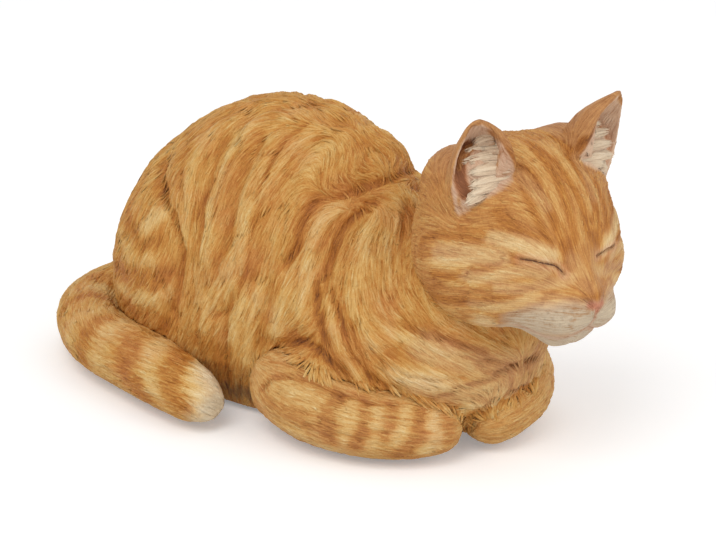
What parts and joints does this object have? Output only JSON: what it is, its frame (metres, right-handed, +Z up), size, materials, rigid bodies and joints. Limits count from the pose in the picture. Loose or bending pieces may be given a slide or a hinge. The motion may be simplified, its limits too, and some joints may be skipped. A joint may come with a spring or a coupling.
{
  "type": "cat figurine",
  "caption": "Life-size resting ginger tabby cat figurine with folded forelegs and a curled tail, cast hollow in resin, on a closed base plate with felt pads.",
  "frame": {"origin": "on the ground, midway along and across the whole figure", "axes": "+X the way the cat faces, +Y to its left, +Z up"},
  "size_m": [0.3654, 0.1768, 0.1979],
  "materials": {
    "body_paint": "matte",
    "head_paint": "matte",
    "tail_paint": "matte",
    "foreleg_paint": "matte",
    "plate_board": "matte",
    "steel": "satin",
    "felt": "matte"
  },
  "bodies": {
    "root": {"body_shell": "body_paint", "head_shell": "head_paint", "tail": "tail_paint", "right_foreleg": "foreleg_paint", "left_foreleg": "foreleg_paint", "base_plate": "plate_board", "neck_dowel_left": "steel", "neck_dowel_right": "steel", "tail_dowel": "steel", "right_foreleg_dowel": "steel", "left_foreleg_dowel": "steel", "felt_pad_front_left": "felt", "felt_pad_front_right": "felt", "felt_pad_rear_left": "felt", "felt_pad_rear_right": "felt"}
  },
  "joints": []
}
